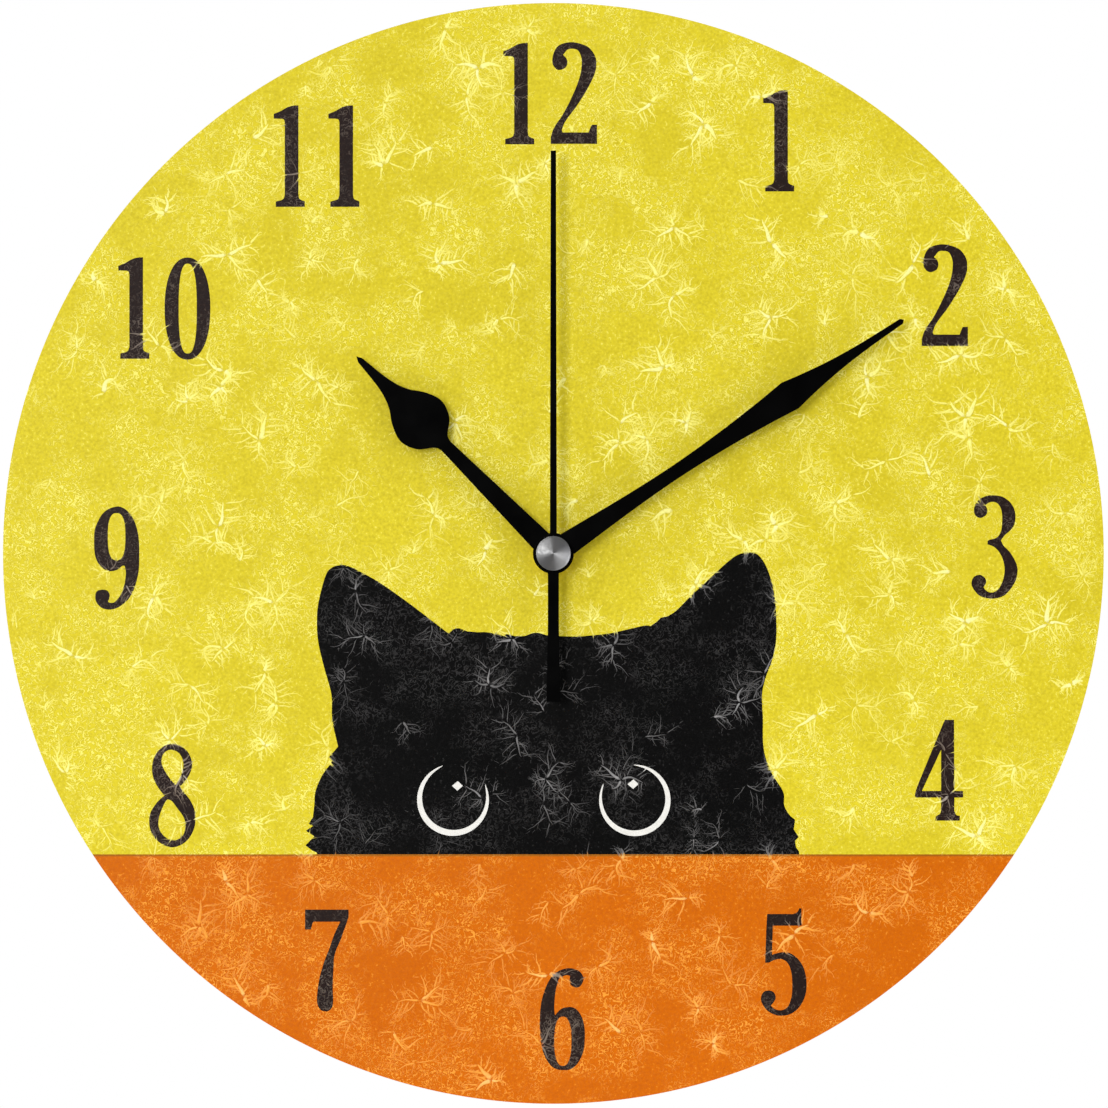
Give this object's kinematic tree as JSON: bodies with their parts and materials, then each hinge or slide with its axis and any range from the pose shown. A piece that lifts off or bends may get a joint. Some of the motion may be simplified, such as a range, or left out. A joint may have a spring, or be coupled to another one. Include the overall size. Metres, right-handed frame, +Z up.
{
  "type": "round quartz wall clock",
  "caption": "Round wall clock: a printed disc with upright numerals and a cat behind a table, three black hands, and a square quartz movement with a hanger behind.",
  "frame": {"origin": "where the axis of the hands meets the rear face of the movement case, which is the wall plane", "axes": "+Y from the face to the wall along the axis of the hands, +Z up to twelve, +X to three as the face is read"},
  "size_m": [0.25, 0.0297, 0.25],
  "materials": {
    "fibreboard": "fine grey-brown hardboard, matt",
    "printed_film": "printed yellow and orange film with a crackled gloss",
    "rubber": "matt",
    "brass": "turned, satin",
    "black_enamel": "black satin paint on stamped aluminium",
    "bright_metal": "spun, bright",
    "steel": "ground",
    "acetal": "moulded, satin",
    "ferrite": "sintered, matt",
    "soft_iron": "stamped",
    "nylon": "moulded, satin",
    "copper_wire": "enamelled copper wire",
    "phenolic": "pressed laminate",
    "epoxy": "potted, glossy",
    "black_plastic": "moulded, fine spark texture",
    "cell_metal": "plated steel can",
    "cell_sleeve": "shrunk printed sleeve",
    "nickel_strip": "nickel plated strip"
  },
  "bodies": {
    "clock_body": {"dial_board": "fibreboard", "face_film": "printed_film", "rubber_gasket": "rubber", "threaded_bushing": "brass", "front_washer": "brass", "ring_nut": "brass", "front_case": "black_plastic", "rear_case": "black_plastic", "middle_plate": "nylon", "stator_plate": "soft_iron", "coil_core": "soft_iron", "coil_bobbin": "nylon", "coil_winding": "copper_wire", "circuit_board": "phenolic", "driver_chip": "epoxy", "quartz_crystal": "steel", "positive_contact": "nickel_strip", "negative_contact": "nickel_strip"},
    "second_group": {"second_wheel": "acetal", "second_arbor": "steel", "second_hand_tube": "brass", "second_hand": "black_enamel", "centre_cap": "bright_metal"},
    "intermediate_group": {"intermediate_wheel": "acetal"},
    "rotor_group": {"rotor_pinion": "acetal", "rotor_magnet": "ferrite"},
    "third_group": {"third_wheel": "acetal"},
    "minute_group": {"centre_wheel": "acetal", "clutch_spring": "steel", "cannon_pinion": "brass", "minute_hand": "black_enamel", "minute_hand_nut": "brass"},
    "minute_wheel_group": {"minute_wheel": "acetal"},
    "hour_group": {"hour_wheel": "acetal", "hour_hand": "black_enamel"},
    "knob_group": {"setting_knob": "black_plastic"},
    "cell": {"cell_can": "cell_metal", "cell_sleeve": "cell_sleeve"}
  },
  "joints": [
    {"name": "second_drive", "type": "hinge", "parent": "clock_body", "child": "second_group", "pos_m": [0, 0, 0], "axis": [0, 1, 0], "continuous": true},
    {"name": "intermediate_turn", "type": "hinge", "parent": "clock_body", "child": "intermediate_group", "pos_m": [0.00594, 0, 0.00594], "axis": [0, 1, 0], "continuous": true},
    {"name": "rotor_turn", "type": "hinge", "parent": "clock_body", "child": "rotor_group", "pos_m": [0.01383, 0, 0.00881], "axis": [0, 1, 0], "continuous": true},
    {"name": "third_turn", "type": "hinge", "parent": "clock_body", "child": "third_group", "pos_m": [-0.00764, 0, 0.00764], "axis": [0, 1, 0], "continuous": true},
    {"name": "minute_hand_turn", "type": "hinge", "parent": "clock_body", "child": "minute_group", "pos_m": [0, 0, 0], "axis": [0, 1, 0], "continuous": true},
    {"name": "minute_wheel_turn", "type": "hinge", "parent": "clock_body", "child": "minute_wheel_group", "pos_m": [-0.00739, 0, -0.0013], "axis": [0, 1, 0], "continuous": true},
    {"name": "hour_hand_turn", "type": "hinge", "parent": "clock_body", "child": "hour_group", "pos_m": [0, 0, 0], "axis": [0, 1, 0], "continuous": true},
    {"name": "knob_turn", "type": "hinge", "parent": "clock_body", "child": "knob_group", "pos_m": [-0.01443, 0, -0.00387], "axis": [0, 1, 0], "continuous": true},
    {"name": "cell_removal", "type": "slide", "parent": "clock_body", "child": "cell", "axis": [0, 1, 0], "range_m": [0, 0.022]}
  ],
  "couplings": [
    {"joint": "intermediate_turn", "follows": "second_drive", "ratio": -5},
    {"joint": "rotor_turn", "follows": "second_drive", "ratio": 30},
    {"joint": "third_turn", "follows": "second_drive", "ratio": -0.13333},
    {"joint": "minute_hand_turn", "follows": "second_drive", "ratio": 0.016667},
    {"joint": "minute_wheel_turn", "follows": "second_drive", "ratio": -0.0055556},
    {"joint": "hour_hand_turn", "follows": "second_drive", "ratio": 0.0013889},
    {"joint": "knob_turn", "follows": "second_drive", "ratio": 0.016667}
  ]
}
